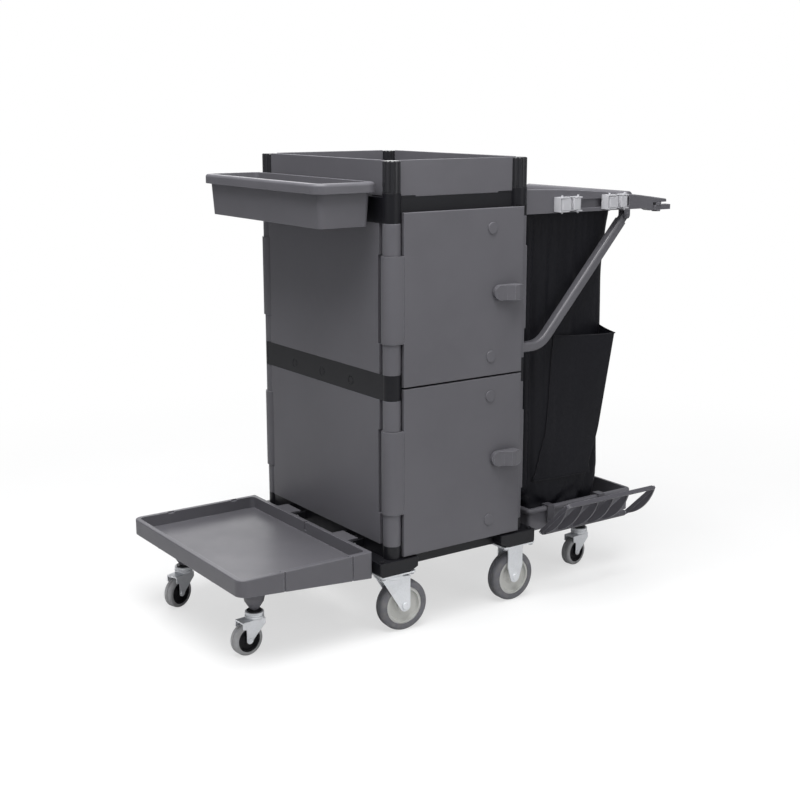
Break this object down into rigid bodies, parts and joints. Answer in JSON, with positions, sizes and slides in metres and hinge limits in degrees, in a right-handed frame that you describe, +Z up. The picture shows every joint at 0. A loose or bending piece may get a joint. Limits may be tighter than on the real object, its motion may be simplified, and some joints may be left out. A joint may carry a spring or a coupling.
{
  "type": "housekeeping cart",
  "caption": "Housekeeping cart with a cabinet closed by latched doors, a folding platform, a hanging bin, a waste bag on a handle frame, broom clips and casters.",
  "frame": {"origin": "on the floor, under the middle of the whole cart's box", "axes": "+X along the cart towards the waste bag, +Y towards the cabinet's back (doors face -Y), +Z up"},
  "size_m": [1.282, 0.6944, 1.097],
  "materials": {
    "grey_plastic": "fine moulded grain",
    "black_plastic": "satin moulded",
    "clip_plastic": "satin moulded",
    "zinc_steel": "bright zinc plate",
    "grey_tread": "satin rubber",
    "pale_hub": "satin moulded",
    "small_wheel": "light grey tread on a black centre",
    "grey_tube": "powder coat",
    "bag_cloth": "coated woven nylon"
  },
  "bodies": {
    "cabinet": {"base_frame": "black_plastic", "corner_blocks": "black_plastic", "frame_bolts": "zinc_steel", "middle_shelf": "black_plastic", "top_shelf": "black_plastic", "rim_posts": "black_plastic", "rim_panels": "grey_plastic", "corner_columns": "grey_plastic", "side_panels": "grey_plastic", "back_panels": "grey_plastic", "hinge_knuckles": "grey_plastic", "hinge_pins": "zinc_steel", "caster_mounts": "zinc_steel", "rigid_forks": "zinc_steel", "platform_brackets": "black_plastic", "bin_rail": "black_plastic", "frame_arms": "grey_plastic", "push_handle": "grey_tube", "handle_grip": "grey_plastic", "support_struts": "grey_tube", "strut_brackets": "grey_plastic", "clip_bodies": "clip_plastic", "clip_pins": "clip_plastic", "waste_bag": "bag_cloth", "bag_rail": "grey_tube", "bag_tray": "grey_plastic", "tray_brackets": "black_plastic", "rack_hangers": "grey_plastic"},
    "upper_door": {"upper_door": "grey_plastic"},
    "lower_door": {"lower_door": "grey_plastic"},
    "upper_latch": {"upper_latch": "grey_plastic"},
    "lower_latch": {"lower_latch": "grey_plastic"},
    "platform": {"platform_tray": "grey_plastic", "platform_stems": "zinc_steel"},
    "bin": {"hanging_bin": "grey_plastic"},
    "rack": {"broom_rack": "grey_plastic"},
    "front_hook": {"front_hook": "grey_plastic"},
    "back_hook": {"back_hook": "grey_plastic"},
    "inner_left_jaw": {"inner_clip_left_jaw": "clip_plastic"},
    "inner_right_jaw": {"inner_clip_right_jaw": "clip_plastic"},
    "outer_left_jaw": {"outer_clip_left_jaw": "clip_plastic"},
    "outer_right_jaw": {"outer_clip_right_jaw": "clip_plastic"},
    "front_rigid_wheel": {"front_rigid_hub": "pale_hub", "front_rigid_tyre": "grey_tread"},
    "back_rigid_wheel": {"back_rigid_hub": "pale_hub", "back_rigid_tyre": "grey_tread"},
    "front_swivel_fork": {"front_swivel_fork": "zinc_steel"},
    "front_swivel_wheel": {"front_swivel_hub": "pale_hub", "front_swivel_tyre": "grey_tread"},
    "back_swivel_fork": {"back_swivel_fork": "zinc_steel"},
    "back_swivel_wheel": {"back_swivel_hub": "pale_hub", "back_swivel_tyre": "grey_tread"},
    "platform_front_fork": {"platform_front_fork": "zinc_steel"},
    "platform_front_wheel": {"platform_front_wheel": "small_wheel"},
    "platform_back_fork": {"platform_back_fork": "zinc_steel"},
    "platform_back_wheel": {"platform_back_wheel": "small_wheel"},
    "tray_front_fork": {"tray_front_fork": "zinc_steel"},
    "tray_front_wheel": {"tray_front_wheel": "small_wheel"},
    "tray_back_fork": {"tray_back_fork": "zinc_steel"},
    "tray_back_wheel": {"tray_back_wheel": "small_wheel"}
  },
  "joints": [
    {"name": "upper_door_swing", "type": "hinge", "parent": "cabinet", "child": "upper_door", "pos_m": [-0.2345, -0.21557, 0.787], "axis": [0, 0, 1], "range_deg": [-110, 0]},
    {"name": "upper_latch_turn", "type": "hinge", "parent": "upper_door", "child": "upper_latch", "pos_m": [0.053, -0.23982, 0.787], "axis": [0, 1, 0], "range_deg": [0, 90]},
    {"name": "lower_door_swing", "type": "hinge", "parent": "cabinet", "child": "lower_door", "pos_m": [-0.2345, -0.21557, 0.386], "axis": [0, 0, 1], "range_deg": [-110, 0]},
    {"name": "lower_latch_turn", "type": "hinge", "parent": "lower_door", "child": "lower_latch", "pos_m": [0.053, -0.23982, 0.386], "axis": [0, 1, 0], "range_deg": [0, 90]},
    {"name": "platform_fold", "type": "hinge", "parent": "cabinet", "child": "platform", "pos_m": [-0.278, 0.05118, 0.199], "axis": [0, 1, 0], "range_deg": [0, 90]},
    {"name": "bin_lift", "type": "slide", "parent": "cabinet", "child": "bin", "axis": [0, 0, 1], "range_m": [0, 0.04]},
    {"name": "rack_fold", "type": "hinge", "parent": "cabinet", "child": "rack", "pos_m": [0.346, -0.24582, 0.172], "axis": [1, 0, 0], "range_deg": [-46.5, 43.5]},
    {"name": "front_hook_swivel", "type": "hinge", "parent": "cabinet", "child": "front_hook", "pos_m": [0.598, -0.20382, 0.96], "axis": [0, 0, 1], "range_deg": [-90, 90]},
    {"name": "back_hook_swivel", "type": "hinge", "parent": "cabinet", "child": "back_hook", "pos_m": [0.598, 0.30618, 0.96], "axis": [0, 0, 1], "range_deg": [-90, 90]},
    {"name": "inner_clip_open", "type": "hinge", "parent": "cabinet", "child": "inner_left_jaw", "pos_m": [0.2516, -0.23132, 0.981], "axis": [0, 0, 1], "range_deg": [-35, 0]},
    {"name": "inner_clip_right", "type": "hinge", "parent": "cabinet", "child": "inner_right_jaw", "pos_m": [0.3026, -0.23132, 0.981], "axis": [0, 0, 1], "range_deg": [0, 35]},
    {"name": "outer_clip_open", "type": "hinge", "parent": "cabinet", "child": "outer_left_jaw", "pos_m": [0.4069, -0.23132, 0.981], "axis": [0, 0, 1], "range_deg": [-35, 0]},
    {"name": "outer_clip_right", "type": "hinge", "parent": "cabinet", "child": "outer_right_jaw", "pos_m": [0.4579, -0.23132, 0.981], "axis": [0, 0, 1], "range_deg": [0, 35]},
    {"name": "front_rigid_spin", "type": "hinge", "parent": "cabinet", "child": "front_rigid_wheel", "pos_m": [0.132, -0.20582, 0.0625], "axis": [0, 1, 0], "continuous": true},
    {"name": "back_rigid_spin", "type": "hinge", "parent": "cabinet", "child": "back_rigid_wheel", "pos_m": [0.132, 0.30818, 0.0625], "axis": [0, 1, 0], "continuous": true},
    {"name": "front_swivel_turn", "type": "hinge", "parent": "cabinet", "child": "front_swivel_fork", "pos_m": [-0.2326, -0.20582, 0.09], "axis": [0, 0, 1], "continuous": true},
    {"name": "front_swivel_spin", "type": "hinge", "parent": "front_swivel_fork", "child": "front_swivel_wheel", "pos_m": [-0.20376, -0.20885, 0.0625], "axis": [0.1045, 0.9945, 0], "continuous": true},
    {"name": "back_swivel_turn", "type": "hinge", "parent": "cabinet", "child": "back_swivel_fork", "pos_m": [-0.2326, 0.30818, 0.09], "axis": [0, 0, 1], "continuous": true},
    {"name": "back_swivel_spin", "type": "hinge", "parent": "back_swivel_fork", "child": "back_swivel_wheel", "pos_m": [-0.20367, 0.3102, 0.0625], "axis": [-0.0698, 0.9976, 0], "continuous": true},
    {"name": "platform_front_turn", "type": "hinge", "parent": "platform", "child": "platform_front_fork", "pos_m": [-0.554, -0.12982, 0.09], "axis": [0, 0, 1], "continuous": true},
    {"name": "platform_front_spin", "type": "hinge", "parent": "platform_front_fork", "child": "platform_front_wheel", "pos_m": [-0.57691, -0.13182, 0.0375], "axis": [-0.0872, 0.9962, 0], "continuous": true},
    {"name": "platform_back_turn", "type": "hinge", "parent": "platform", "child": "platform_back_fork", "pos_m": [-0.554, 0.23218, 0.09], "axis": [0, 0, 1], "continuous": true},
    {"name": "platform_back_spin", "type": "hinge", "parent": "platform_back_fork", "child": "platform_back_wheel", "pos_m": [-0.57561, 0.22431, 0.0375], "axis": [-0.342, 0.9397, 0], "continuous": true},
    {"name": "tray_front_turn", "type": "hinge", "parent": "cabinet", "child": "tray_front_fork", "pos_m": [0.459, -0.10382, 0.09], "axis": [0, 0, 1], "continuous": true},
    {"name": "tray_front_spin", "type": "hinge", "parent": "tray_front_fork", "child": "tray_front_wheel", "pos_m": [0.43628, -0.10742, 0.0375], "axis": [-0.1564, 0.9877, 0], "continuous": true},
    {"name": "tray_back_turn", "type": "hinge", "parent": "cabinet", "child": "tray_back_fork", "pos_m": [0.459, 0.20618, 0.09], "axis": [0, 0, 1], "continuous": true},
    {"name": "tray_back_spin", "type": "hinge", "parent": "tray_back_fork", "child": "tray_back_wheel", "pos_m": [0.43606, 0.20458, 0.0375], "axis": [-0.0698, 0.9976, 0], "continuous": true}
  ],
  "couplings": [
    {"joint": "inner_clip_right", "follows": "inner_clip_open", "ratio": -1},
    {"joint": "outer_clip_right", "follows": "outer_clip_open", "ratio": -1}
  ]
}
